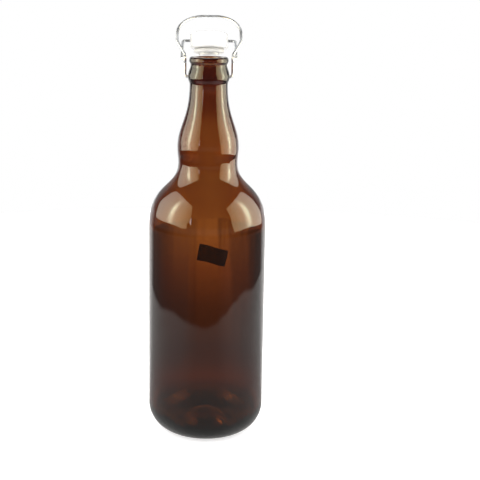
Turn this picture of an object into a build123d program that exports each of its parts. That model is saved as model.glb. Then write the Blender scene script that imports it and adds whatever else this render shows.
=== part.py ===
"""Swing top bottle: a blown amber glass bottle with a lightning closure.

The glass is one revolved solid. The closure is a lever wire that pivots in two
dimples of the collar, a bail wire that hooks through the lever's eyes, and a
ceramic stopper with a rubber gasket that turns on the bail. It is modelled open,
thrown back behind the mouth. Every closure piece is laid out in its shut pose
first and then swung open about its own pivot, so the linkage meets in both poses.

Units are millimetres. The origin is the centre of the resting ring, +Z is up, the
lever pivots about X and the closure opens towards +Y.
"""
from build123d import *
from math import cos, radians, sin
import os

os.makedirs("parts", exist_ok=True)

# ---------------------------------------------------------------- glass, outside
body_radius = 40.5
heel_radius = 20.4          # big round heel between base and body
ring_width = 3.2            # flat resting ring inside the heel
pushup_height = 11.0        # dome under the base
pushup_flat = 10.1          # how far the dome's crown stays flat
pushup_foot = 1.5           # how far the dome leans in over the ring's edge
pushup_steep = 3.85         # how far up the dome's foot stays steep
floor_flat = 11.8           # the same for the floor inside
body_height = 127.6         # straight wall, from heel to shoulder
shoulder_reach = 30.8       # how far the body's line carries into the shoulder
waist_radius = 20.35        # slight waist between shoulder and neck bulb
waist_rise = 45.0           # from the top of the body to the waist
waist_drop = 18.2           # how far the waist's line carries down
bulb_radius = 21.05         # grip bulb in the neck
bulb_rise = 10.5            # from the waist to the bulb's widest line
bulb_turn = 5.3             # reach of the curve between waist and bulb
bulb_reach = 14.5
neck_radius = 12.95
neck_rise = 43.5            # from the bulb to the top of the neck
neck_drop = 24.0            # how far the slim neck's line carries down
collar_radius = 14.2        # thick ring that holds the pivot dimples
collar_rise = 4.2
collar_reach = 3.4
groove_radius = 12.3        # groove between collar and lip
groove_rise = 8.0
groove_turn = 2.2
lip_radius = 13.3           # crown-size bead, 26.6 across
lip_rise = 2.9
lip_turn = 1.3
lip_height = 2.5            # from the bead's widest line to the rim
rim_round = 1.5             # outer edge of the rim
rim_swell = 1.75            # how far up the rim the bead stays upright
rim_crown = 0.95            # how far out the rim stays flat

# ---------------------------------------------------------------- glass, inside
bore_radius = 8.4
bore_round = 0.8
body_wall = 2.7
bulb_wall = 3.1
base_wall = 4.5

# ---------------------------------------------------------------- closure wires
lever_wire = 2.0            # wire diameters
bail_wire = 2.0
running_gap = 0.08          # radial clearance of a wire in its hole
dimple_depth = 2.1
pin_end_gap = 0.3           # lever end to dimple floor
lever_arm_x = 16.2          # arms stand clear of collar and lip
lever_arm_length = 16.0     # straight part, before the loop flares out
lever_arm_lean = 6.0        # degrees that the shut arms lean to the front
loop_half_width = 22.0      # loop rounds the neck bulb
loop_flare = 14.0           # along the loop, from arm to full width
loop_length = 41.5          # from the arms to the end of the loop
loop_lean = 34.0            # degrees that the shut loop leans to the front
eye_distance = 12.0         # from lever pivot to bail pivot
eye_tube = 1.9              # wire diameter where it is coiled into the eye
bail_leg_x = 18.4           # legs run outside the lever arms
bail_pin_reach = 3.2        # bail ends, turned in through the eyes and cut flush
wire_bend = 2.4             # centre line radius of the tight bends
loop_bend = 12.0            # where the flare turns into the loop's side

# ---------------------------------------------------------------- stopper
head_radius = 13.5
head_below = 5.5            # head under the cross hole
head_above = 6.8            # head over the cross hole
dome_rise = 3.2
dome_swell = 2.24           # how far up the dome's edge stays upright
dome_crown = 7.4            # how far out the top stays flat
head_round = 1.2
stem_radius = 5.6
button_radius = 7.2         # holds the gasket and enters the bore
button_height = 2.0
button_chamfer = 0.6
gasket_radius = 10.5
gasket_height = 3.0
gasket_round = 0.9
gasket_fit = 0.05
shut_gap = 0.4              # gasket to rim when shut, before it is squeezed

# ---------------------------------------------------------------- open pose
lever_open = 200.0          # degrees the lever swings from shut to open
bail_open = 74.0            # degrees the bail leans back from its shut line
stopper_open = 10.0         # degrees the stopper leans back when open

# ---------------------------------------------------------------- sticker
sticker_length = 22.0
sticker_height = 12.5
sticker_z = 118.0
sticker_x = 3.8
sticker_tilt = 12.0
sticker_thickness = 0.2
sticker_glue = 0.05

# heights over the resting ring, each carried by the one below it
shoulder_z = heel_radius + body_height
waist_z = shoulder_z + waist_rise
bulb_z = waist_z + bulb_rise
neck_z = bulb_z + neck_rise
collar_z = neck_z + collar_rise
groove_z = collar_z + groove_rise
lip_z = groove_z + lip_rise
rim_z = lip_z + lip_height
ring_outer = body_radius - heel_radius
ring_inner = ring_outer - ring_width


def s_curve(low, high, low_reach, high_reach):
    """A smooth run between two stations where the wall stands upright."""
    return Bezier(low, (low[0], low[1] + low_reach), (high[0], high[1] - high_reach), high)


# ================================================================ bottle
with BuildPart() as bottle:
    with BuildSketch(Plane.XZ):
        with BuildLine():
            # under the base, resting ring, heel and body
            Bezier((0, pushup_height), (pushup_flat, pushup_height),
                   (ring_inner - pushup_foot, pushup_steep), (ring_inner, 0))
            Line((ring_inner, 0), (ring_outer, 0))
            TangentArc((ring_outer, 0), (body_radius, heel_radius), tangent=(1, 0))
            Line((body_radius, heel_radius), (body_radius, shoulder_z))
            # shoulder, waist, bulb and neck
            s_curve((body_radius, shoulder_z), (waist_radius, waist_z), shoulder_reach, waist_drop)
            s_curve((waist_radius, waist_z), (bulb_radius, bulb_z), bulb_turn, bulb_turn)
            s_curve((bulb_radius, bulb_z), (neck_radius, neck_z), bulb_reach, neck_drop)
            # collar, groove and lip
            TangentArc((collar_radius, collar_z), (neck_radius, neck_z), tangent=(0, -1))
            s_curve((collar_radius, collar_z), (groove_radius, groove_z), collar_reach, groove_turn)
            s_curve((groove_radius, groove_z), (lip_radius, lip_z), lip_turn, lip_turn)
            Bezier((lip_radius, lip_z), (lip_radius, lip_z + rim_swell),
                   (lip_radius - rim_round + rim_crown, rim_z), (lip_radius - rim_round, rim_z))
            Line((lip_radius - rim_round, rim_z), (bore_radius + bore_round, rim_z))
            # down the bore and inside the neck, bulb and shoulder
            TangentArc((bore_radius + bore_round, rim_z), (bore_radius, rim_z - bore_round), tangent=(-1, 0))
            Line((bore_radius, rim_z - bore_round), (bore_radius, neck_z))
            s_curve((bulb_radius - bulb_wall, bulb_z), (bore_radius, neck_z), bulb_reach, neck_drop)
            s_curve((waist_radius - bulb_wall, waist_z), (bulb_radius - bulb_wall, bulb_z),
                    bulb_turn, bulb_turn)
            s_curve((body_radius - body_wall, shoulder_z - body_wall), (waist_radius - bulb_wall, waist_z),
                    shoulder_reach, waist_drop)
            # inside of the body, heel and floor
            inner_heel = heel_radius - body_wall
            Line((body_radius - body_wall, shoulder_z - body_wall),
                 (body_radius - body_wall, base_wall + inner_heel))
            TangentArc((body_radius - body_wall, base_wall + inner_heel), (ring_outer, base_wall),
                       tangent=(0, -1))
            Bezier((ring_outer, base_wall), (ring_outer - ring_width / 2, base_wall),
                   (floor_flat, pushup_height + base_wall), (0, pushup_height + base_wall))
            Line((0, pushup_height + base_wall), (0, pushup_height))
        make_face()
    revolve(axis=Axis.Z)
    # two blind dimples in the collar, one each side, for the lever's ends
    for side in (1, -1):
        with BuildSketch(Plane(origin=(side * (collar_radius - dimple_depth), 0, collar_z),
                               z_dir=(side, 0, 0))):
            Circle(lever_wire / 2 + running_gap)
        extrude(amount=2 * dimple_depth, mode=Mode.SUBTRACT)
bottle.part.label = "bottle"
export_step(bottle.part, "parts/bottle.step")


# ================================================================ linkage layout
def swing(vector, turn):
    """Turn a (y, z) vector towards the back by a number of degrees."""
    y, z = vector
    c, s = cos(radians(turn)), sin(radians(turn))
    return (y * c + z * s, z * c - y * s)


# shut pose, measured from the lever's pivot: the eye sits beside the arm, just
# behind the line from stopper to pivot, so that the closure locks over centre
eye_offset = (lever_wire + bail_wire) / 2 + running_gap
eye_y = eye_offset * cos(radians(lever_arm_lean)) - eye_distance * sin(radians(lever_arm_lean))
eye_z = eye_distance * cos(radians(lever_arm_lean)) + eye_offset * sin(radians(lever_arm_lean))
hole_height = head_below + gasket_height
seat_z = rim_z - collar_z + shut_gap + hole_height

# open pose: where the eye and the stopper's cross hole end up, as (y, z)
eye_swing = swing((eye_y, -eye_z), lever_open)
bail_swing = swing((-eye_y, seat_z + eye_z), bail_open)
eye_at = (eye_swing[0], collar_z + eye_swing[1])
cross_at = (eye_at[0] + bail_swing[0], eye_at[1] + bail_swing[1])


def lever_point(x, arm, loop):
    """A point of the open lever, by its run along the arm and along the loop."""
    y = -arm * sin(radians(lever_arm_lean)) - loop * sin(radians(loop_lean))
    z = -arm * cos(radians(lever_arm_lean)) - loop * cos(radians(loop_lean))
    back, up = swing((y, z), lever_open)
    return (x, back, collar_z + up)


# ================================================================ lever
pin_x = collar_radius - dimple_depth + pin_end_gap
lever_half = [
    (pin_x, 0, 0),
    (lever_arm_x, 0, 0),
    (lever_arm_x, lever_arm_length, 0),
    (loop_half_width, lever_arm_length, loop_flare),
    (loop_half_width, lever_arm_length, loop_length),
]
lever_route = [lever_point(*p) for p in lever_half]
lever_route += [lever_point(-p[0], p[1], p[2]) for p in reversed(lever_half)]
loop_end_bend = min(loop_half_width, loop_length - loop_flare) - 2 * lever_wire
lever_bends = [wire_bend, 2 * wire_bend, loop_bend, loop_end_bend]
lever_bends += lever_bends[::-1]

with BuildPart() as lever:
    with BuildLine():
        FilletPolyline(*lever_route, radius=lever_bends)
    with BuildSketch(Plane(origin=lever_route[0], z_dir=(1, 0, 0))):
        Circle(lever_wire / 2)
    sweep()
    # the eyes, one coil of wire beside each arm
    for side in (1, -1):
        with Locations(Location((side * lever_arm_x, *eye_at), (0, 90, 0))):
            Torus(eye_offset, eye_tube / 2)
lever.part.label = "lever"
export_step(lever.part, "parts/lever.step")

# ================================================================ bail
bail_half = [
    (bail_leg_x - bail_pin_reach, *eye_at),
    (bail_leg_x, *eye_at),
    (bail_leg_x, *cross_at),
]
bail_route = bail_half + [(-x, y, z) for x, y, z in reversed(bail_half)]

with BuildPart() as bail:
    with BuildLine():
        FilletPolyline(*bail_route, radius=wire_bend)
    with BuildSketch(Plane(origin=bail_route[0], z_dir=(1, 0, 0))):
        Circle(bail_wire / 2)
    sweep()
bail.part.label = "bail"
export_step(bail.part, "parts/bail.step")

# ================================================================ stopper
button_z = -hole_height - button_height
stopper_up = swing((0, 1), stopper_open)
stopper_plane = Plane(origin=(0, *cross_at), x_dir=(1, 0, 0), z_dir=(0, *stopper_up))
stopper_section = Plane(origin=(0, *cross_at), x_dir=(1, 0, 0),
                        z_dir=(0, -stopper_up[1], stopper_up[0]))
stopper_axis = Axis((0, *cross_at), (0, *stopper_up))

with BuildPart() as stopper:
    with BuildSketch(stopper_section):
        with BuildLine():
            Polyline((0, button_z), (button_radius - button_chamfer, button_z),
                     (button_radius, button_z + button_chamfer), (button_radius, -hole_height),
                     (stem_radius, -hole_height), (stem_radius, -head_below),
                     (head_radius - head_round, -head_below))
            TangentArc((head_radius - head_round, -head_below), (head_radius, head_round - head_below),
                       tangent=(1, 0))
            Line((head_radius, head_round - head_below), (head_radius, head_above - dome_rise))
            Bezier((head_radius, head_above - dome_rise), (head_radius, head_above - dome_rise + dome_swell),
                   (dome_crown, head_above), (0, head_above))
            Line((0, head_above), (0, button_z))
        make_face()
    revolve(axis=stopper_axis)
    with BuildSketch(Plane(origin=(-head_radius, *cross_at), z_dir=(1, 0, 0))):
        Circle(bail_wire / 2 + running_gap)
    extrude(amount=2 * head_radius, mode=Mode.SUBTRACT)
stopper.part.label = "stopper"
export_step(stopper.part, "parts/stopper.step")

# ================================================================ gasket
with BuildPart() as gasket:
    with BuildSketch(stopper_plane.offset(-hole_height)):
        Circle(gasket_radius)
        Circle(stem_radius + gasket_fit, mode=Mode.SUBTRACT)
    extrude(amount=gasket_height)
    fillet(gasket.edges().filter_by(GeomType.CIRCLE).group_by(SortBy.RADIUS)[-1], gasket_round)
gasket.part.label = "gasket"
export_step(gasket.part, "parts/gasket.step")

# ================================================================ sticker
with BuildPart() as sticker:
    with BuildSketch(Plane.XY):
        Circle(body_radius + sticker_glue + sticker_thickness)
        Circle(body_radius + sticker_glue, mode=Mode.SUBTRACT)
    extrude(amount=rim_z)
    with BuildSketch(Plane.XZ):
        with Locations(Location((sticker_x, sticker_z, 0), (0, 0, -sticker_tilt))):
            Rectangle(sticker_length, sticker_height)
    extrude(amount=-2 * body_radius, mode=Mode.INTERSECT)
sticker.part.label = "sticker"
export_step(sticker.part, "parts/sticker.step")
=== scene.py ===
"""Swing top bottle: blown amber glass with a sprung wire closure, on a plain pale stage.

The glass is spun from its own section, with mould seams, pivot dimples and a slightly
uneven inner wall. The wires, the ceramic stopper, its gasket and the sticker are the
frame's solids, finished here. Lengths are metres in the frame's own axes: the bottle
stands on z = 0, the lever pivots about X and the closure opens towards +Y.
"""
from math import atan2, cos, exp, hypot, pi, radians, sin

import bmesh
import bpy
from bpy.props import FloatProperty, FloatVectorProperty, PointerProperty
from mathutils import Matrix, Vector, noise
from mathutils.geometry import interpolate_bezier
from mathutils.kdtree import KDTree


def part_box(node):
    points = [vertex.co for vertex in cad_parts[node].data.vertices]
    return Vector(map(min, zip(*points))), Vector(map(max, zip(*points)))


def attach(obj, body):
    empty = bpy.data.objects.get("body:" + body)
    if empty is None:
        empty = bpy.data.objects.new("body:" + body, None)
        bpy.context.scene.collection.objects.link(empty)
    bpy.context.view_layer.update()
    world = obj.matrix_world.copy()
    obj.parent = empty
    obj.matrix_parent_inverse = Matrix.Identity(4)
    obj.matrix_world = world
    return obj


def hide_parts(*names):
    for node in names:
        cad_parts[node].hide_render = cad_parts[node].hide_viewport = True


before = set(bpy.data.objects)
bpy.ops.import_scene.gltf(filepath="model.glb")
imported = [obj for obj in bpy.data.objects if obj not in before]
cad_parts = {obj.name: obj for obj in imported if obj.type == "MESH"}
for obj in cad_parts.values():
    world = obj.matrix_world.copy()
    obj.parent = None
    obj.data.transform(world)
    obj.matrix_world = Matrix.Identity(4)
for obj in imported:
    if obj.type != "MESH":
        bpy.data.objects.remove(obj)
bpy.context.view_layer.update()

bl_info = {
    "name": "Swing Top Bottle",
    "version": (1, 0, 0),
    "blender": (4, 5, 0),
    "location": "View3D > Sidebar > Bottle",
    "description": "Builds an amber swing top bottle with its wire closure and a plain stage",
    "category": "Add Mesh",
}

RIM_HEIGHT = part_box("bottle")[1][2]
BODY_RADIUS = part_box("bottle")[1][0]

# Shape of the section's curves, where no size sets it: lengths of Bezier handles in metres
BODY_PULL = 0.04
NECK_PULL = 0.002
COLLAR_PULL = 0.0034
GROOVE_PULL = 0.0022
LIP_PULL = 0.0013
RIM_PULL_OUT = 0.0006
RIM_PULL_IN = 0.0014
BORE_PULL_TOP = 0.006
BORE_PULL_FOOT = 0.005
DOME_LEAN = 0.0015
# and shares of the size that they belong to
QUARTER_PULL = 0.5523
DOME_FLAT = 0.6
DOME_STEEP = 0.35
FLOOR_FLAT = 0.7
COLLAR_TURN = 2.4
LIP_UPRIGHT = 0.7
SHOULDER_DROP = 0.6

# The wall is spun in steps that are finer across either seam
SEAM_ARC, SEAM_STEPS = radians(7), 28
BROAD_STEPS = 84
# Vertices this close are one, and this close to the axis they stay where they are
AXIS_NEAR = 1e-6

# Where the seams and the uneven wall fade out, in metres from the foot or from the rim
SEAM_FOOT, SEAM_HEAD = 0.004, 0.006
WAVER_FOOT, WAVER_EASE, WAVER_HEAD = 0.03, 0.05, 0.012
# How quickly the wall's swelling and its draw lines change round the bottle and up it
SWELL_ROUND, SWELL_UP = 42, 16
DRAW_ROUND, DRAW_UP = 230, 4


# ---------------------------------------------------------------- sizes and colours
def length(name, description, default):
    """A length in metres that a user may change."""
    return FloatProperty(name=name, description=description, default=default, precision=5,
                         subtype="DISTANCE", unit="LENGTH")


def angle(name, description, degrees):
    """An angle that a user may change."""
    return FloatProperty(name=name, description=description, default=radians(degrees),
                         subtype="ANGLE", unit="ROTATION")


def colour(name, description, default):
    """A linear colour that a user may change."""
    return FloatVectorProperty(name=name, description=description, default=default,
                               subtype="COLOR", size=3, min=0.0, max=1.0)


class GlassSizes(bpy.types.PropertyGroup):
    """The glass, from the resting ring to the rim."""

    heel_radius: length("Heel radius", "Round between the base and the body", 0.0204)
    ring_width: length("Ring width", "Flat resting ring inside the heel", 0.0032)
    pushup_height: length("Push-up height", "Dome under the base", 0.011)
    body_height: length("Body height", "Straight wall from heel to shoulder", 0.1276)
    shoulder_reach: length("Shoulder reach", "How far the body's line carries up", 0.0308)
    waist_radius: length("Waist radius", "Slight waist over the shoulder", 0.02035)
    waist_rise: length("Waist rise", "From the top of the body to the waist", 0.045)
    waist_drop: length("Waist drop", "How far the waist's line carries down", 0.0182)
    bulb_radius: length("Bulb radius", "Grip bulb in the neck", 0.02105)
    bulb_rise: length("Bulb rise", "From the waist to the bulb", 0.0105)
    bulb_turn: length("Bulb turn", "Reach of the curve between waist and bulb", 0.0053)
    bulb_reach: length("Bulb reach", "How far the bulb's line carries up", 0.0145)
    neck_radius: length("Neck radius", "Slim neck under the collar", 0.01295)
    neck_rise: length("Neck rise", "From the bulb to the top of the neck", 0.0435)
    neck_drop: length("Neck drop", "How far the neck's line carries down", 0.024)
    collar_radius: length("Collar radius", "Thick ring with the pivot dimples", 0.0142)
    collar_rise: length("Collar rise", "From the neck to the collar's widest line", 0.0042)
    groove_radius: length("Groove radius", "Groove between collar and lip", 0.0123)
    groove_rise: length("Groove rise", "From the collar to the groove", 0.008)
    lip_radius: length("Lip radius", "Bead at the mouth", 0.0133)
    lip_rise: length("Lip rise", "From the groove to the bead", 0.0029)
    rim_round: length("Rim round", "Outer edge of the rim", 0.0015)
    bore_radius: length("Bore radius", "Straight bore of the mouth", 0.0084)
    bore_round: length("Bore round", "Inner edge of the rim", 0.0008)
    neck_wall: length("Neck wall", "Glass in the slim neck, under the bore", 0.0038)
    bore_taper: length("Bore taper", "Height over which the bore opens into the neck", 0.007)
    body_wall: length("Body wall", "Glass in the body", 0.0027)
    bulb_wall: length("Bulb wall", "Glass in the neck bulb", 0.0031)
    base_wall: length("Base wall", "Glass in the floor", 0.0045)
    dimple_depth: length("Dimple depth", "Blind hole for the lever's end", 0.0021)
    dimple_radius: length("Dimple radius", "Full depth inside this", 0.00112)
    dimple_edge: length("Dimple edge", "Softened out to this", 0.0019)
    seam_height: length("Seam height", "Ridge left by the mould's halves", 0.00002)
    seam_width: length("Seam width", "Half width of that ridge", 0.0009)
    seam_turn: angle("Seam turn", "Where the front seam stands, round the axis", -16.3)
    wall_waver: length("Wall waver", "How much the inner wall swells and thins", 0.00022)
    wall_draw: length("Wall draw lines", "Depth of the upright lines inside the wall", 0.00009)


class FinishColours(bpy.types.PropertyGroup):
    """Colours of the pieces and of the stage."""

    clear: colour("Glass surface", "Tint at the glass's surface", (1.0, 1.0, 1.0))
    amber: colour("Glass body", "What the depth of the glass lets through", (0.70, 0.46, 0.08))
    wire: colour("Wire", "Zinc plated spring wire", (0.74, 0.76, 0.79))
    wire_dull: colour("Worn wire", "Where the plating has dulled", (0.50, 0.52, 0.55))
    glaze: colour("Glaze", "White glazed ceramic", (0.86, 0.85, 0.82))
    glaze_speck: colour("Glaze specks", "Fine iron specks in the glaze", (0.55, 0.47, 0.38))
    rubber: colour("Rubber", "Pale silicone gasket", (0.80, 0.78, 0.74))
    rubber_bloom: colour("Rubber bloom", "Dry bloom on the gasket", (0.86, 0.85, 0.82))
    tape: colour("Sticker", "Plain dark tape", (0.075, 0.058, 0.048))
    tape_worn: colour("Worn sticker", "Scuffed tape", (0.15, 0.12, 0.10))
    floor: colour("Floor", "Plain pale floor", (0.80, 0.80, 0.80))
    # Painted light: the warm glow that the amber glass throws on the floor close to the base
    beside: colour("Floor beside", "Floor close to the base, seen through the glass", (0.9, 0.8, 0.7))
    lamp: colour("Lamp", "Glow of the lamp behind either light panel", (0.90, 1.0, 0.72))
    strip: colour("Strip", "Narrow strip of light in front", (1.0, 0.93, 0.90))
    # Painted reflection: the lit floor as a glow that only the glass's mirrored rays see
    sheet: colour("Sheet", "The lit floor, as the glass mirrors it", (1.0, 0.98, 0.96))


class StageSizes(bpy.types.PropertyGroup):
    """Camera, light panels and floor."""

    camera_reach: length("Camera reach", "From the camera to the bottle's axis", 0.803)
    camera_height: length("Camera height", "Over the floor", 0.3205)
    camera_pitch: angle("Camera pitch", "Downward tilt", 12.8)
    camera_roll: angle("Camera roll", "Turn about the line of sight", 0.6)
    camera_lens: FloatProperty(name="Focal length", description="Millimetres on a 36 mm sensor",
                               default=88.5)
    camera_shift: FloatProperty(name="Sideways shift", description="Framing", default=0.0686)
    floor_radius: length("Floor radius", "Pale disc under the bottle", 0.80)
    panel_reach: length("Panel reach", "From the axis to a light panel", 0.30)


# ---------------------------------------------------------------- shader expressions
class Plug:
    """One output of a shader node. Arithmetic on it adds Math nodes."""

    def __init__(self, shader, socket):
        self.shader = shader
        self.socket = socket

    def maths(self, operation, first, second):
        return self.shader.node("ShaderNodeMath", {"operation": operation}, {0: first, 1: second})

    def __add__(self, other):
        return self.maths("ADD", self, other)

    def __radd__(self, other):
        return self.maths("ADD", other, self)

    def __sub__(self, other):
        return self.maths("SUBTRACT", self, other)

    def __rsub__(self, other):
        return self.maths("SUBTRACT", other, self)

    def __mul__(self, other):
        return self.maths("MULTIPLY", self, other)

    def __truediv__(self, other):
        return self.maths("DIVIDE", self, other)

    def __pow__(self, other):
        return self.maths("POWER", self, other)

    def __rpow__(self, other):
        return self.maths("POWER", other, self)

    def output(self, name):
        """Another output of the same node."""
        return Plug(self.shader, self.socket.node.outputs[name])


class Shader:
    """The node tree of a material or a world."""

    def __init__(self, tree):
        self.tree = tree
        tree.nodes.clear()

    def node(self, kind, settings=None, sockets=None, output=0):
        """Add a node: its settings first, then the values or links of its sockets."""
        made = self.tree.nodes.new(kind)
        for name, value in (settings or {}).items():
            if name == "stops":
                ramp = made.color_ramp
                while len(ramp.elements) < len(value):
                    ramp.elements.new(1.0)
                for element, (place, tint) in zip(ramp.elements, value):
                    element.position = place
                    tint = tint if hasattr(tint, "__len__") else (tint, tint, tint)
                    element.color = (*tint, 1.0)
            else:
                setattr(made, name, value)
        for name, value in (sockets or {}).items():
            socket = made.inputs[name]
            if isinstance(value, Plug):
                self.tree.links.new(value.socket, socket)
            elif hasattr(value, "__len__") and len(value) == 3 and socket.type == "RGBA":
                socket.default_value = (*value, 1.0)
            else:
                socket.default_value = value
        return Plug(self, made.outputs[output])

    def mix(self, factor, first, second):
        """Blend two colours."""
        return self.node("ShaderNodeMix", {"data_type": "RGBA"},
                         {0: factor, 6: first, 7: second}, output=2)

    def place(self, stretch=(1.0, 1.0, 1.0)):
        """The piece's own coordinates, stretched."""
        here = self.node("ShaderNodeTexCoord", output=3)
        return self.node("ShaderNodeMapping", None, {"Vector": here, "Scale": stretch})

    def axes(self, vector):
        """The three parts of a vector."""
        split = self.node("ShaderNodeSeparateXYZ", None, {0: vector})
        return split.output("X"), split.output("Y"), split.output("Z")

    def noise(self, where, scale, detail=2.0, roughness=0.5):
        return self.node("ShaderNodeTexNoise", None,
                         {"Vector": where, "Scale": scale, "Detail": detail, "Roughness": roughness})

    def ramp(self, value, *stops):
        return self.node("ShaderNodeValToRGB", {"stops": stops}, {"Fac": value})

    def span(self, value, start, end, low, high):
        """Go evenly from low to high as the value goes from start to end."""
        return self.node("ShaderNodeMapRange", None, {0: value, 1: start, 2: end, 3: low, 4: high})

    def ease(self, value, start, end, low, high):
        """Go smoothly from low to high as the value goes from start to end."""
        return self.node("ShaderNodeMapRange", {"interpolation_type": "SMOOTHSTEP"},
                         {0: value, 1: start, 2: end, 3: low, 4: high})

    def largest(self, first, second):
        """The greater of two values."""
        return self.node("ShaderNodeMath", {"operation": "MAXIMUM"}, {0: first, 1: second})

    def glow(self, tint, strength):
        """Light of one tint, whose strength may change over the surface."""
        light = self.node("ShaderNodeVectorMath", {"operation": "SCALE"}, {0: tint, "Scale": strength})
        return self.node("ShaderNodeEmission", None, {"Color": light, "Strength": 1.0})

    def add(self, first, second):
        """The light of two shaders together."""
        return self.node("ShaderNodeAddShader", None, {0: first, 1: second})

    def bump(self, height, strength, distance):
        return self.node("ShaderNodeBump", None,
                         {"Height": height, "Strength": strength, "Distance": distance})

    def finish(self, surface, volume=None):
        """Join the finished surface to the material's output."""
        sockets = {"Surface": surface}
        if volume is not None:
            sockets["Volume"] = volume
        self.node_end("ShaderNodeOutputMaterial", sockets)

    def node_end(self, kind, sockets):
        """Add an output node, which has no outputs of its own."""
        made = self.tree.nodes.new(kind)
        for name, value in sockets.items():
            self.tree.links.new(value.socket, made.inputs[name])


def new_shader(name):
    """A fresh material and the shader that fills it."""
    material = bpy.data.materials.new(name)
    material.use_nodes = True
    return material, Shader(material.node_tree)


# ---------------------------------------------------------------- finishes
def amber_glass(colours):
    """Fire polished amber glass: faint mould ripple, a few handling smudges, colour by depth."""
    material, shader = new_shader("amber_glass")
    where = shader.place()
    ripple = shader.noise(shader.place((1.0, 1.0, 0.55)), 55.0, 2.0)
    smudge = shader.ramp(shader.noise(where, 38.0, 5.0, 0.62), (0.56, 0.0), (0.78, 1.0))
    dust = shader.ramp(shader.noise(where, 900.0, 2.0), (0.70, 0.0), (0.78, 1.0))
    surface = shader.node("ShaderNodeBsdfPrincipled", None, {
        "Base Color": shader.mix(dust * 0.10, tuple(colours.clear), (0.86, 0.84, 0.80)),
        "Roughness": smudge * 0.015,
        "IOR": 1.52,
        "Transmission Weight": 1.0,
        "Normal": shader.bump(ripple, 0.22, 0.0006),
    })
    volume = shader.node("ShaderNodeVolumeAbsorption", None,
                         {"Color": tuple(colours.amber), "Density": 1000.0})
    shader.finish(surface, volume)
    return material


def spring_wire(name, colours, grain):
    """Zinc plated spring wire, drawn lengthwise, duller where it has been handled."""
    material, shader = new_shader(name)
    drawn = shader.noise(shader.place(grain), 900.0, 3.0, 0.6)
    dull = shader.ramp(shader.noise(shader.place(), 140.0, 4.0, 0.6), (0.42, 0.0), (0.66, 1.0))
    surface = shader.node("ShaderNodeBsdfPrincipled", None, {
        "Base Color": shader.mix(dull * 0.7, tuple(colours.wire), tuple(colours.wire_dull)),
        "Metallic": 0.96 - dull * 0.36,
        "Roughness": 0.24 + drawn * 0.10 + dull * 0.16,
        "Normal": shader.bump(drawn, 0.25, 0.00006),
    })
    shader.finish(surface)
    return material


def white_glaze(colours):
    """Pressed ceramic under a thick white glaze, with fine specks and soft pooling."""
    material, shader = new_shader("white_ceramic")
    where = shader.place()
    pooling = shader.noise(where, 160.0, 3.0)
    specks = shader.ramp(shader.noise(where, 1900.0, 1.0), (0.76, 0.0), (0.80, 1.0))
    orange_peel = shader.noise(where, 620.0, 1.0)
    pooled = shader.mix(pooling * 0.35, tuple(colours.glaze), (0.92, 0.91, 0.885))
    surface = shader.node("ShaderNodeBsdfPrincipled", None, {
        "Base Color": shader.mix(specks * 0.5, pooled, tuple(colours.glaze_speck)),
        "Roughness": 0.22 + pooling * 0.10,
        "Coat Weight": 0.75 + pooling * 0.2,
        "Coat Roughness": 0.04,
        "Normal": shader.bump(orange_peel, 0.18, 0.00012),
    })
    shader.finish(surface)
    return material


def gasket_rubber(colours):
    """Moulded silicone, matte, with a dry bloom and a fine moulded grain."""
    material, shader = new_shader("gasket_rubber")
    where = shader.place()
    bloom = shader.ramp(shader.noise(where, 210.0, 5.0, 0.65), (0.40, 0.0), (0.68, 1.0))
    grain = shader.noise(where, 2600.0, 2.0)
    surface = shader.node("ShaderNodeBsdfPrincipled", None, {
        "Base Color": shader.mix(bloom * 0.8, tuple(colours.rubber), tuple(colours.rubber_bloom)),
        "Roughness": 0.55 + bloom * 0.25,
        "Normal": shader.bump(grain, 0.3, 0.00008),
    })
    shader.finish(surface)
    return material


def black_tape(colours):
    """Plain paper tape, black, with its fibres showing where it is scuffed."""
    material, shader = new_shader("black_sticker")
    fibre = shader.noise(shader.place((1.0, 1.0, 4.0)), 1500.0, 3.0, 0.7)
    scuff = shader.ramp(shader.noise(shader.place(), 260.0, 4.0, 0.6), (0.52, 0.0), (0.72, 1.0))
    surface = shader.node("ShaderNodeBsdfPrincipled", None, {
        "Base Color": shader.mix(scuff * 0.7, tuple(colours.tape), tuple(colours.tape_worn)),
        "Roughness": 0.58 + fibre * 0.25,
        "Normal": shader.bump(fibre, 0.35, 0.00006),
    })
    shader.finish(surface)
    return material


# ---------------------------------------------------------------- glass section
def run(low, low_handle, high_handle, high, count):
    """Points along one Bezier run of the section, without its last point."""
    points = interpolate_bezier(Vector(low), Vector(low_handle), Vector(high_handle), Vector(high),
                                count + 1)
    return [(p.x, p.y) for p in points[:-1]]


def upright(low, high, low_reach, high_reach, count):
    """A run between two stations where the wall stands upright."""
    return run(low, (low[0], low[1] + low_reach), (high[0], high[1] - high_reach), high, count)


def quarter(start, end, corner, count):
    """A quarter round from start to end, about the square corner between them."""
    first = [s + QUARTER_PULL * (c - s) for s, c in zip(start, corner)]
    second = [e + QUARTER_PULL * (c - e) for e, c in zip(end, corner)]
    return run(start, first, second, end, count)


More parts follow.
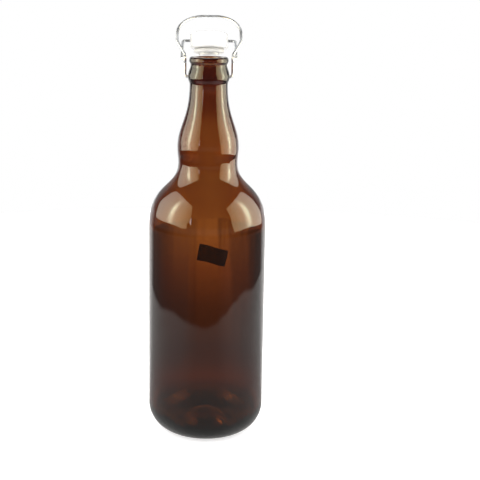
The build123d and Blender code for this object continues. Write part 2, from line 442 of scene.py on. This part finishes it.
def glass_section(glass):
    """The wall's section as (radius, height): the outside, the inside and the collar's height.

    Each run ends with its count of points.
    """
    body = BODY_RADIUS
    heel = glass.heel_radius
    dome_z = glass.pushup_height
    ring_outer = body - heel
    ring_inner = ring_outer - glass.ring_width
    soft = glass.ring_width / 4
    shoulder_z = heel + glass.body_height
    waist_z = shoulder_z + glass.waist_rise
    bulb_z = waist_z + glass.bulb_rise
    neck_z = bulb_z + glass.neck_rise
    collar_z = neck_z + glass.collar_rise
    groove_z = collar_z + glass.groove_rise
    lip_z = groove_z + glass.lip_rise
    rim_z = RIM_HEIGHT
    rim_edge = glass.lip_radius - glass.rim_round
    corner = glass.collar_rise / 5

    # up the outside: dome, resting ring, heel, body
    outside = run((0, dome_z), (DOME_FLAT * ring_inner, dome_z),
                  (ring_inner - DOME_LEAN, DOME_STEEP * dome_z), (ring_inner - soft / 4, soft), 22)
    outside += run((ring_inner - soft / 4, soft), (ring_inner, soft / 3),
                   (ring_inner + soft / 3, 0), (ring_inner + soft, 0), 4)
    outside += run((ring_inner + soft, 0), (ring_inner + 2 * soft, 0),
                   (ring_outer - soft, 0), (ring_outer, 0), 3)
    outside += quarter((ring_outer, 0), (body, heel), (body, 0), 20)
    outside += upright((body, heel), (body, shoulder_z), BODY_PULL, BODY_PULL, 16)
    # shoulder, waist, bulb and neck
    outside += upright((body, shoulder_z), (glass.waist_radius, waist_z),
                       glass.shoulder_reach, glass.waist_drop, 34)
    outside += upright((glass.waist_radius, waist_z), (glass.bulb_radius, bulb_z),
                       glass.bulb_turn, glass.bulb_turn, 10)
    outside += upright((glass.bulb_radius, bulb_z), (glass.neck_radius, neck_z - corner),
                       glass.bulb_reach, glass.neck_drop - corner, 24)
    # collar, groove, lip and rim
    outside += run((glass.neck_radius, neck_z - corner), (glass.neck_radius, neck_z + corner),
                   (glass.collar_radius, collar_z - COLLAR_TURN * corner),
                   (glass.collar_radius, collar_z), 9)
    outside += upright((glass.collar_radius, collar_z), (glass.groove_radius, groove_z),
                       COLLAR_PULL, GROOVE_PULL, 14)
    outside += upright((glass.groove_radius, groove_z), (glass.lip_radius, lip_z),
                       LIP_PULL, LIP_PULL, 6)
    outside += run((glass.lip_radius, lip_z),
                   (glass.lip_radius, lip_z + LIP_UPRIGHT * (rim_z - lip_z)),
                   (rim_edge + glass.rim_round / 2, rim_z), (rim_edge, rim_z), 8)

    bore = glass.bore_radius
    bore_z = rim_z - glass.bore_round
    taper_z = neck_z - glass.bore_taper
    neck_inner = glass.neck_radius - glass.neck_wall
    bulb_inner = glass.bulb_radius - glass.bulb_wall
    waist_inner = glass.waist_radius - glass.bulb_wall
    body_inner = body - glass.body_wall
    shoulder_inner_z = shoulder_z - SHOULDER_DROP * glass.body_wall
    heel_inner_z = glass.base_wall + (heel - glass.body_wall)
    floor_z = dome_z + glass.base_wall

    # down the inside: rim, bore and the taper under it
    inside = run((rim_edge, rim_z), (rim_edge - RIM_PULL_OUT, rim_z), (bore + RIM_PULL_IN, rim_z),
                 (bore + glass.bore_round, rim_z), 2)
    inside += quarter((bore + glass.bore_round, rim_z), (bore, bore_z), (bore, rim_z), 5)
    inside += run((bore, bore_z), (bore, rim_z - BORE_PULL_TOP), (bore, neck_z + BORE_PULL_FOOT),
                  (bore, neck_z), 8)
    inside += run((bore, neck_z), (bore, neck_z - glass.bore_taper / 2),
                  (neck_inner, taper_z + glass.bore_taper / 2), (neck_inner, taper_z), 6)
    # neck, bulb, waist and shoulder
    inside += run((neck_inner, taper_z), (neck_inner, neck_z - glass.neck_drop + NECK_PULL),
                  (bulb_inner, bulb_z + glass.bulb_reach), (bulb_inner, bulb_z), 20)
    inside += upright((bulb_inner, bulb_z), (waist_inner, waist_z),
                      -glass.bulb_turn, -glass.bulb_turn, 10)
    inside += upright((waist_inner, waist_z), (body_inner, shoulder_inner_z),
                      -glass.waist_drop, -glass.shoulder_reach, 34)
    # body, heel and floor
    inside += upright((body_inner, shoulder_inner_z), (body_inner, heel_inner_z),
                      -BODY_PULL, -BODY_PULL, 16)
    inside += quarter((body_inner, heel_inner_z), (ring_outer, glass.base_wall),
                      (body_inner, glass.base_wall), 18)
    inside += run((ring_outer, glass.base_wall),
                  (ring_outer - glass.ring_width / 2, glass.base_wall),
                  (FLOOR_FLAT * ring_inner, floor_z), (0, floor_z), 22)
    inside.append((0, floor_z))
    return outside, inside, collar_z


def spin_wall(mesh, section, arcs):
    """Spin a section about Z in arcs of (turn, steps), and close it into one skin."""
    verts = [mesh.verts.new((r, 0.0, z)) for r, z in section]
    edges = [mesh.edges.new(pair) for pair in zip(verts, verts[1:])]
    geometry = verts + edges
    for turn, steps in arcs:
        spun = bmesh.ops.spin(mesh, geom=geometry, cent=(0, 0, 0), axis=(0, 0, 1),
                              angle=turn, steps=steps)
        geometry = spun["geom_last"]
    bmesh.ops.remove_doubles(mesh, verts=mesh.verts, dist=AXIS_NEAR)


def swept_wall(glass, section):
    """The section spun into a closed mesh, in fine steps across both seams."""
    mesh = bmesh.new()
    fine = (SEAM_ARC, SEAM_STEPS)
    broad = (pi - SEAM_ARC, BROAD_STEPS)
    spin_wall(mesh, section, (fine, broad, fine, broad))
    start = glass.seam_turn - pi / 2 - SEAM_ARC / 2
    bmesh.ops.rotate(mesh, verts=mesh.verts, cent=(0, 0, 0), matrix=Matrix.Rotation(start, 3, "Z"))
    bmesh.ops.recalc_face_normals(mesh, faces=mesh.faces)
    return mesh


def new_piece(name, mesh, material, body):
    """Turn a bmesh into a smooth piece that rides on a body."""
    data = bpy.data.meshes.new(name)
    mesh.to_mesh(data)
    mesh.free()
    for polygon in data.polygons:
        polygon.use_smooth = True
    data.materials.append(material)
    piece = bpy.data.objects.new(name, data)
    bpy.context.scene.collection.objects.link(piece)
    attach(piece, body)
    return piece


def refinish(node, material):
    """Give a node of the frame its finished material."""
    data = bpy.data.objects[node].data
    data.materials.clear()
    data.materials.append(material)


# ---------------------------------------------------------------- operators
class BuildGlass(bpy.types.Operator):
    """Spin the amber glass from its section and soften it as blown glass is"""

    bl_idname = "bottle.build_glass"
    bl_label = "Glass"

    def execute(self, context):
        glass = context.scene.bottle_glass
        outside, inside, collar_z = glass_section(glass)
        section = outside + inside
        mesh = swept_wall(glass, section)
        # a vertex lies on the outer skin if the nearest point of the section does
        stations = KDTree(len(section))
        for index, (r, z) in enumerate(section):
            stations.insert((r, 0.0, z), index)
        stations.balance()
        for vert in mesh.verts:
            x, y, z = vert.co
            radius = hypot(x, y)
            if radius < AXIS_NEAR:
                continue
            outward = Vector((x / radius, y / radius, 0.0))
            if stations.find((radius, 0.0, z))[1] < len(outside):
                vert.co += outward * self.seam(glass, x, y, z, radius)
                vert.co -= outward * self.dimple(glass, x, y, z, collar_z)
            elif z < RIM_HEIGHT - WAVER_HEAD:
                vert.co += outward * self.waver(glass, x, y, z)
        piece = new_piece("glass_bottle", mesh, amber_glass(context.scene.bottle_colours), "glass")
        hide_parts("bottle")
        return {"FINISHED"}

    @staticmethod
    def seam(glass, x, y, z, radius):
        """Height of the mould's seam ridge, on the body, shoulder and neck."""
        if z < SEAM_FOOT or z > RIM_HEIGHT - SEAM_HEAD:
            return 0.0
        across = radius * sin(atan2(y, x) - glass.seam_turn + pi / 2)
        return glass.seam_height * exp(-(across / glass.seam_width) ** 2)

    @staticmethod
    def dimple(glass, x, y, z, collar_z):
        """Depth of the pivot dimples at either end of the X axis."""
        across = hypot(y, z - collar_z)
        if across >= glass.dimple_edge:
            return 0.0
        slope = glass.dimple_edge - glass.dimple_radius
        rise = max(0.0, (across - glass.dimple_radius) / slope)
        return glass.dimple_depth * (1 + cos(pi * rise)) / 2

    @staticmethod
    def waver(glass, x, y, z):
        """How far the inner wall swells or thins at a place."""
        swell = noise.noise(Vector((x * SWELL_ROUND, y * SWELL_ROUND, z * SWELL_UP)))
        drawn = noise.noise(Vector((x * DRAW_ROUND, y * DRAW_ROUND, z * DRAW_UP)))
        calm = min(1.0, max(0.0, z - WAVER_FOOT) / WAVER_EASE)
        return (glass.wall_waver * swell + glass.wall_draw * drawn) * calm


class FinishWires(bpy.types.Operator):
    """Finish the lever and the bail as zinc plated spring wire"""

    bl_idname = "bottle.finish_wires"
    bl_label = "Lever and bail"

    def execute(self, context):
        colours = context.scene.bottle_colours
        refinish("lever", spring_wire("lever_wire", colours, (4.0, 0.25, 0.25)))
        refinish("bail", spring_wire("bail_wire", colours, (4.0, 0.3, 0.6)))
        return {"FINISHED"}


class FinishStopper(bpy.types.Operator):
    """Finish the ceramic stopper and its gasket"""

    bl_idname = "bottle.finish_stopper"
    bl_label = "Stopper and gasket"

    def execute(self, context):
        colours = context.scene.bottle_colours
        refinish("stopper", white_glaze(colours))
        refinish("gasket", gasket_rubber(colours))
        return {"FINISHED"}


class FinishSticker(bpy.types.Operator):
    """Finish the small plain sticker on the back"""

    bl_idname = "bottle.finish_sticker"
    bl_label = "Sticker"

    def execute(self, context):
        refinish("sticker", black_tape(context.scene.bottle_colours))
        return {"FINISHED"}


# ---------------------------------------------------------------- stage
# A light panel: its name, its side, the (y, z) of its lamp and its outline as (y, z)
PANELS = (
    ("panel_left", -1, (-0.08, 0.30),
     ((-0.345, 0.141), (-0.10, 0.160), (0.155, 0.150), (0.205, 0.28), (0.19, 0.43), (0.13, 0.49),
      (0.03, 0.548), (-0.15, 0.60), (-0.42, 0.65), (-0.455, 0.61), (-0.455, 0.43), (-0.425, 0.31),
      (-0.39, 0.20))),
    ("panel_right", 1, (-0.02, 0.26),
     ((-0.24, 0.114), (-0.11, 0.128), (-0.02, 0.133), (0.24, 0.105), (0.262, 0.144), (0.222, 0.25),
      (0.23, 0.39), (0.185, 0.447), (0.10, 0.478), (-0.17, 0.505), (-0.315, 0.50), (-0.29, 0.275),
      (-0.28, 0.17))),
)
# A panel's cloth from front to back, over the metre about its lamp
PANEL_CLOTH = ((0.10, (0.82, 0.58, 0.27)), (0.32, (1.0, 0.80, 0.46)),
               (0.50, (1.0, 0.90, 0.64)), (0.70, (0.84, 0.78, 0.64)))
PANEL_STRENGTH, HAZE_STRENGTH, LAMP_STRENGTH = 2.6, 2.5, 9.5
# How fast lamp and haze die away from the lamp, along the panel and up it
LAMP_ALONG, LAMP_UP = -900.0, 55.0
HAZE_ALONG, HAZE_UP = -20.0, 9.0
EULER = 2.718

# The strip of light: its corners, and how it glows at twice the height in metres
STRIP_CORNERS = ((-0.306, -0.456, 0.002), (-0.272, -0.475, 0.002),
                 (-0.272, -0.475, 0.38), (-0.306, -0.456, 0.38))
STRIP_GLOW = ((0.0, 0.02), (0.42, 0.03), (0.45, 1.0), (0.54, 0.9),
              (0.56, 0.3), (0.60, 1.0), (0.66, 0.8), (0.70, 0.02))
STRIP_STRENGTH = 9.0

# The floor seen through the glass, from the axis out as shares of its radius: painted shade, dark at
# the base, with a painted warm glow of the amber glass close by and white far out
FLOOR_PAINTED_SHADE = (
    (0.06, (0.010, 0.008, 0.008)), (0.085, (0.04, 0.025, 0.02)), (0.11, (0.17, 0.09, 0.06)),
    (0.14, (0.27, 0.15, 0.10)), (0.186, (0.175, 0.10, 0.08)), (0.235, (0.15, 0.09, 0.08)),
    (0.275, (0.19, 0.13, 0.12)), (0.34, (0.215, 0.16, 0.15)), (0.40, (0.26, 0.19, 0.18)),
    (0.445, (0.34, 0.25, 0.24)), (0.51, (0.46, 0.35, 0.34)), (0.573, (0.60, 0.46, 0.46)),
    (0.69, (0.83, 0.74, 0.74)), (0.80, (1.0, 0.93, 0.93)), (0.92, (1.0, 1.0, 1.0)))
# and how bright it is from left to right, over the 0.8 m about the axis: a painted lit slot behind the
# bottle with painted shade to either side
FLOOR_PAINTED_LIGHT = (
    (0.25, 0.28), (0.35, 0.34), (0.41, 0.50), (0.425, 0.60), (0.466, 0.68), (0.488, 1.0),
    (0.535, 1.0), (0.5445, 0.86), (0.558, 0.58), (0.585, 0.54), (0.631, 0.30), (0.70, 0.17),
    (0.81, 0.10))
# and close to the base, over the first 0.1 m, where the painted warm glow of the amber glass lies:
# beside the bottle, and all round it
FLOOR_PAINTED_GLOW = ((0.42, 0.0), (0.50, 0.5), (0.75, 0.35), (1.0, 0.0))
FLOOR_LEVEL = ((0.75, 1.0), (1.0, 0.0))

# The lit sheet that the glass mirrors, a painted reflection of the lit floor: a rounded oblong, as its
# middle and half width, how much it narrows behind and in front, and how square it is
SHEET_MIDDLE, SHEET_HALF = 0.036, 0.395
SHEET_BEHIND, SHEET_FRONT = 2.0, -3.14
SHEET_SQUARE = 1.15

# The area lamps: name, place, size and power
LAMPS = (("lamp_left", (-0.75, -0.55, 0.85), 0.8, 9.0),
         ("lamp_right", (0.75, -0.45, 0.85), 0.8, 9.0),
         ("lamp_top", (0.0, 0.15, 1.25), 0.9, 9.0))
LAMP_AIM = (0, 0, 0.15)
ROOM_LIGHT = 0.55


class BuildStage(bpy.types.Operator):
    """Set the floor, the light panels, the lamps, the world and the camera"""

    bl_idname = "bottle.build_stage"
    bl_label = "Stage"

    def execute(self, context):
        stage = context.scene.bottle_stage
        colours = context.scene.bottle_colours
        self.floor(stage, colours)
        for name, side, lamp_at, outline in PANELS:
            self.panel(name, colours, side * stage.panel_reach, lamp_at, outline)
        self.strip(colours)
        self.lamps()
        self.world(context.scene)
        self.camera(context.scene, stage)
        context.scene.view_settings.view_transform = "Standard"
        return {"FINISHED"}

    @staticmethod
    def rays(shader):
        """Which rays look: the camera's, those through the glass, and those mirrored by it."""
        path = shader.node("ShaderNodeLightPath")
        through = path.output("Is Transmission Ray")
        return path.output("Is Camera Ray"), through, path.output("Is Glossy Ray") * (1.0 - through)

    def floor(self, stage, colours):
        """A pale disc that looks white and keeps the bottle's shadow; through the glass and in its
        reflections it shows painted shade and light.
        """
        material, shader = new_shader("pale_floor")
        camera, through, mirrored = self.rays(shader)
        x, y, _ = shader.axes(shader.place())
        away = (x * x + y * y) ** 0.5
        wide = (x * x) ** 0.5

        surface = shader.node("ShaderNodeBsdfDiffuse", None, {"Color": tuple(colours.floor)})
        white = shader.glow((1.0, 1.0, 1.0), camera * shader.span(away, 0.1, 0.6, 0.70, 0.95))
        plain = shader.add(surface, white)

        tint, side = self.floor_through(shader, stage, colours, x, y, away, wide)
        seen = shader.glow(tint, side * through)
        sheet = shader.glow(tuple(colours.sheet),
                            self.floor_mirrored(shader, x, y, away, wide) * mirrored)
        shader.finish(shader.node("ShaderNodeMixShader", None, {
            0: through + mirrored, 1: plain, 2: shader.add(seen, sheet)}))
        mesh = bmesh.new()
        bmesh.ops.create_circle(mesh, cap_ends=True, segments=128, radius=stage.floor_radius)
        self.link("floor", mesh, material)

    @staticmethod
    def floor_through(shader, stage, colours, x, y, away, wide):
        """Tint and strength of the floor through the glass: painted shade, darker near the base and
        aside, with a painted warm glow of the amber glass by the base.
        """
        painted_shade = shader.ramp(away * (1.0 / stage.floor_radius), *FLOOR_PAINTED_SHADE)
        lit = shader.ramp(x * 1.25 + 0.5, *FLOOR_PAINTED_LIGHT)
        front = shader.ease(y, 0.03, 0.22, 1.0, 0.0)
        near = shader.ease(y, -0.07, 0.0, 0.3, 1.12)
        far = shader.ease(away, 0.16, 0.30, 0.0, 1.12)
        side = (lit + front * (1.0 - lit)) * shader.largest(near, far)
        # where the painted warm glow of the amber glass lies, beside the base
        beside = shader.ramp(wide * 10.0, *FLOOR_PAINTED_GLOW)
        level = shader.ramp(away * 10.0, *FLOOR_LEVEL)
        return shader.mix(beside * level, painted_shade, tuple(colours.beside)), side

    @staticmethod
    def floor_mirrored(shader, x, y, away, wide):
        """Strength of the floor mirrored in the glass: a painted reflection, a lit sheet with an edge
        all round.
        """
        across = (x - SHEET_MIDDLE) * (1 / SHEET_HALF)
        along = shader.largest(y * SHEET_BEHIND, y * SHEET_FRONT)
        edge = (across * across) ** SHEET_SQUARE + (along * along) ** SHEET_SQUARE
        aside = shader.ease(wide, 0.05, 0.30, 0.38, 0.68)
        inside = shader.ease(edge, 0.93, 1.08, 1.0, 0.0)
        behind = shader.ease(y / away, 0.58, 0.82, 0.0, 1.0)
        room = shader.span(wide / away, 0.35, 0.65, 0.12, 0.20)
        return inside * aside * (1.0 - behind) + behind + room

    @staticmethod
    def link(name, mesh, material):
        """Put a piece of the stage into the scene."""
        data = bpy.data.meshes.new(name)
        mesh.to_mesh(data)
        mesh.free()
        data.materials.append(material)
        piece = bpy.data.objects.new(name, data)
        bpy.context.scene.collection.objects.link(piece)
        return piece

    def light_sheet(self, name, corners, material):
        """A flat light that only the pieces' mirrored and refracted rays see."""
        mesh = bmesh.new()
        mesh.faces.new([mesh.verts.new(corner) for corner in corners])
        piece = self.link(name, mesh, material)
        for ray in ("camera", "diffuse", "shadow"):
            setattr(piece, "visible_" + ray, False)

    def panel(self, name, colours, x, lamp_at, outline):
        """A soft light panel beside the bottle, with its lamp glowing through at one place."""
        material, shader = new_shader(name)
        _, y, z = shader.axes(shader.place())
        along = y - lamp_at[0]
        up = z - lamp_at[1]
        lamp = EULER ** (along * along * LAMP_ALONG - up * up * LAMP_UP)
        haze = EULER ** (along * along * HAZE_ALONG - up * up * HAZE_UP)
        cloth = shader.ramp(along + 0.5, *PANEL_CLOTH)
        shader.finish(shader.add(shader.glow(cloth, PANEL_STRENGTH + haze * HAZE_STRENGTH),
                                 shader.glow(tuple(colours.lamp), lamp * LAMP_STRENGTH)))
        self.light_sheet(name, [(x, *corner) for corner in outline], material)

    def strip(self, colours):
        """A narrow broken strip of light in front, which draws short strokes on the glass."""
        material, shader = new_shader("strip")
        glow = shader.ramp(shader.axes(shader.place())[2] * 2.0, *STRIP_GLOW)
        shader.finish(shader.glow(tuple(colours.strip), glow * STRIP_STRENGTH))
        self.light_sheet("strip", STRIP_CORNERS, material)

    @staticmethod
    def lamps():
        """Plain soft light from both sides and above."""
        for name, place, size, power in LAMPS:
            light = bpy.data.lights.new(name, "AREA")
            light.size = size
            light.energy = power
            lamp = bpy.data.objects.new(name, light)
            lamp.location = place
            aim = Vector(LAMP_AIM) - Vector(place)
            lamp.rotation_euler = aim.to_track_quat("-Z", "Y").to_euler()
            lamp.visible_glossy = False
            lamp.visible_transmission = False
            bpy.context.scene.collection.objects.link(lamp)

    def world(self, scene):
        """White to the camera and through the glass, a dim room where the glass mirrors it."""
        world = bpy.data.worlds.new("studio")
        world.use_nodes = True
        scene.world = world
        shader = Shader(world.node_tree)
        camera, through, mirrored = self.rays(shader)
        toward = shader.node("ShaderNodeTexCoord", output="Generated")
        _, y, z = shader.axes(toward)
        high = shader.ease(z, -0.04, 0.05, 0.0, 1.0)
        low = shader.ease(z, -0.18, -0.11, 0.0, 1.0)
        behind = shader.ease(y, 0.62, 0.85, 0.09 + low * 0.15 - high * 0.12, 1.0 - high * 0.6)
        seen = camera + through
        strength = seen + mirrored * behind + (1.0 - seen - mirrored) * ROOM_LIGHT
        back = shader.node("ShaderNodeBackground", None,
                           {"Color": (1.0, 1.0, 1.0), "Strength": strength})
        shader.node_end("ShaderNodeOutputWorld", {"Surface": back})

    def camera(self, scene, stage):
        """The camera, level with the neck and looking a little down."""
        data = bpy.data.cameras.new("camera")
        data.sensor_width = 36.0
        data.lens = stage.camera_lens
        data.shift_x = stage.camera_shift
        data.clip_start = 0.02
        camera = bpy.data.objects.new("camera", data)
        tilt = Matrix.Rotation(pi / 2 - stage.camera_pitch, 4, "X")
        roll = Matrix.Rotation(stage.camera_roll, 4, "Z")
        place = Matrix.Translation((0.0, -stage.camera_reach, stage.camera_height))
        camera.matrix_world = place @ tilt @ roll
        scene.collection.objects.link(camera)
        scene.camera = camera


class BottlePanel(bpy.types.Panel):
    """Steps and sizes of the swing top bottle"""

    bl_idname = "VIEW3D_PT_swing_top_bottle"
    bl_label = "Swing top bottle"
    bl_space_type = "VIEW_3D"
    bl_region_type = "UI"
    bl_category = "Bottle"

    def draw(self, context):
        layout = self.layout
        for step in STEPS:
            layout.operator(step.bl_idname, text=step.bl_label)
        scene = context.scene
        for group in (scene.bottle_glass, scene.bottle_colours, scene.bottle_stage):
            box = layout.box()
            for name in group.__annotations__:
                box.prop(group, name)


STEPS = (BuildGlass, FinishWires, FinishStopper, FinishSticker, BuildStage)
GROUPS = (GlassSizes, FinishColours, StageSizes)


def register():
    for item in (*GROUPS, *STEPS, BottlePanel):
        bpy.utils.register_class(item)
    bpy.types.Scene.bottle_glass = PointerProperty(type=GlassSizes)
    bpy.types.Scene.bottle_colours = PointerProperty(type=FinishColours)
    bpy.types.Scene.bottle_stage = PointerProperty(type=StageSizes)


def unregister():
    del bpy.types.Scene.bottle_stage
    del bpy.types.Scene.bottle_colours
    del bpy.types.Scene.bottle_glass
    for item in reversed((*GROUPS, *STEPS, BottlePanel)):
        bpy.utils.unregister_class(item)


def main():
    """Build every piece and the stage."""
    register()
    bpy.ops.bottle.build_glass()
    bpy.ops.bottle.finish_wires()
    bpy.ops.bottle.finish_stopper()
    bpy.ops.bottle.finish_sticker()
    bpy.ops.bottle.build_stage()


if __name__ == "__main__":
    main()
